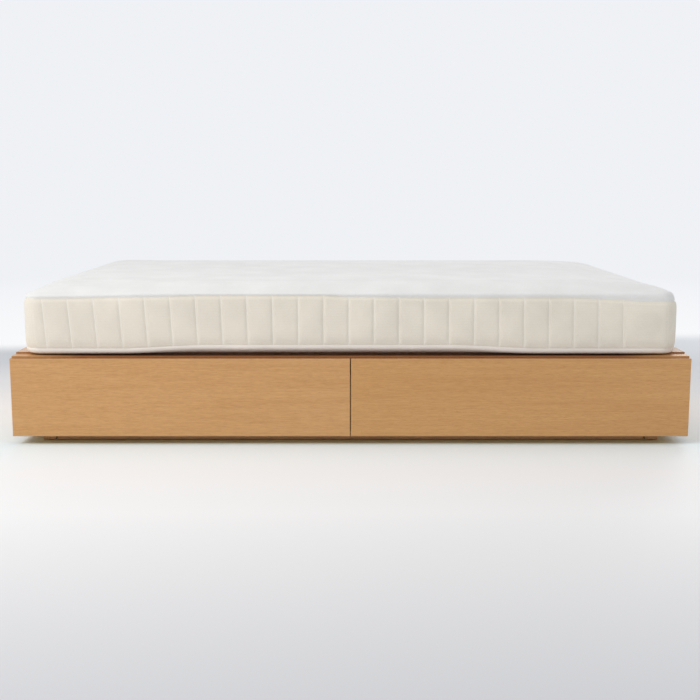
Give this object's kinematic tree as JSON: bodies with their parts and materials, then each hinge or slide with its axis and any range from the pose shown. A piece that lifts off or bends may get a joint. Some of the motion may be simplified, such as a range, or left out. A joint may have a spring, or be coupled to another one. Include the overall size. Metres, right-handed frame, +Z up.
{
  "type": "storage platform bed",
  "caption": "Low wooden platform bed with handle-less roller drawers in one long side, raised end boards, a closed deck and a quilted mattress on top.",
  "frame": {"origin": "centre of the bed's outline on the floor", "axes": "+X along the length, to the right as seen from the drawer side; +Y from the drawer fronts to the back; +Z up from the floor"},
  "size_m": [2.018, 1.235, 0.4783],
  "materials": {
    "oak_veneer": "clear-lacquered oak veneer on board, fine horizontal grain",
    "plinth_wood": "stained softwood, matte",
    "pale_wood": "planed pale solid wood, unfinished",
    "deck_plywood": "sanded plywood",
    "drawer_plywood": "thin plywood, smooth",
    "mattress_fabric": "knitted ticking quilted over padding",
    "runner_steel": "off-white epoxy powder coat",
    "screw_steel": "zinc-plated",
    "roller_nylon": "moulded nylon",
    "glide_plastic": "moulded polyethylene",
    "bumper_rubber": "soft moulded rubber"
  },
  "bodies": {
    "frame": {"corner_legs": "plinth_wood", "floor_glides": "glide_plastic", "plinth_front": "plinth_wood", "plinth_rear": "plinth_wood", "plinth_ends": "plinth_wood", "plinth_joists": "plinth_wood", "left_end_panel": "oak_veneer", "right_end_panel": "oak_veneer", "back_panel": "oak_veneer", "left_bottom_panel": "pale_wood", "right_bottom_panel": "pale_wood", "long_divider": "pale_wood", "front_partition": "pale_wood", "rear_partition": "pale_wood", "front_rail": "pale_wood", "front_cap": "oak_veneer", "rear_rail": "pale_wood", "rear_cap": "oak_veneer", "left_end_board": "oak_veneer", "right_end_board": "oak_veneer", "front_ledge": "pale_wood", "rear_ledge": "pale_wood", "end_ledges": "pale_wood", "front_bearers": "pale_wood", "rear_bearers": "pale_wood", "front_deck_panels": "deck_plywood", "rear_deck_panels": "deck_plywood", "mattress": "mattress_fabric", "left_cabinet_runners": "runner_steel", "right_cabinet_runners": "runner_steel", "cabinet_screws": "screw_steel", "corner_brackets": "runner_steel", "bracket_screws": "screw_steel", "frame_dowels": "pale_wood", "front_bumpers": "bumper_rubber"},
    "left_drawer": {"left_drawer_front": "oak_veneer", "left_drawer_inner_front": "pale_wood", "left_drawer_sides": "pale_wood", "left_drawer_back": "pale_wood", "left_drawer_bottom": "drawer_plywood", "left_drawer_batten": "pale_wood", "left_front_screws": "screw_steel", "left_drawer_runners": "runner_steel", "left_runner_screws": "screw_steel"},
    "left_drawer_rollers": {"left_drawer_rollers": "roller_nylon"},
    "left_cabinet_rollers": {"left_cabinet_rollers": "roller_nylon"},
    "right_drawer": {"right_drawer_front": "oak_veneer", "right_drawer_inner_front": "pale_wood", "right_drawer_sides": "pale_wood", "right_drawer_back": "pale_wood", "right_drawer_bottom": "drawer_plywood", "right_drawer_batten": "pale_wood", "right_front_screws": "screw_steel", "right_drawer_runners": "runner_steel", "right_runner_screws": "screw_steel"},
    "right_drawer_rollers": {"right_drawer_rollers": "roller_nylon"},
    "right_cabinet_rollers": {"right_cabinet_rollers": "roller_nylon"}
  },
  "joints": [
    {"name": "left_drawer_slide", "type": "slide", "parent": "frame", "child": "left_drawer", "axis": [0, -1, 0], "range_m": [0, 0.4]},
    {"name": "left_drawer_roller_turn", "type": "hinge", "parent": "left_drawer", "child": "left_drawer_rollers", "pos_m": [-0.499, -0.062, 0.06075], "axis": [1, 0, 0], "range_deg": [0, 2420]},
    {"name": "left_cabinet_roller_turn", "type": "hinge", "parent": "frame", "child": "left_cabinet_rollers", "pos_m": [-0.499, -0.582, 0.06345], "axis": [1, 0, 0], "range_deg": [0, 2420]},
    {"name": "right_drawer_slide", "type": "slide", "parent": "frame", "child": "right_drawer", "axis": [0, -1, 0], "range_m": [0, 0.4]},
    {"name": "right_drawer_roller_turn", "type": "hinge", "parent": "right_drawer", "child": "right_drawer_rollers", "pos_m": [0.499, -0.062, 0.06075], "axis": [1, 0, 0], "range_deg": [0, 2420]},
    {"name": "right_cabinet_roller_turn", "type": "hinge", "parent": "frame", "child": "right_cabinet_rollers", "pos_m": [0.499, -0.582, 0.06345], "axis": [1, 0, 0], "range_deg": [0, 2420]}
  ],
  "couplings": [
    {"joint": "left_drawer_roller_turn", "follows": "left_drawer_slide", "rad_per_m": 105.26},
    {"joint": "left_cabinet_roller_turn", "follows": "left_drawer_slide", "rad_per_m": 105.26},
    {"joint": "right_drawer_roller_turn", "follows": "right_drawer_slide", "rad_per_m": 105.26},
    {"joint": "right_cabinet_roller_turn", "follows": "right_drawer_slide", "rad_per_m": 105.26}
  ]
}
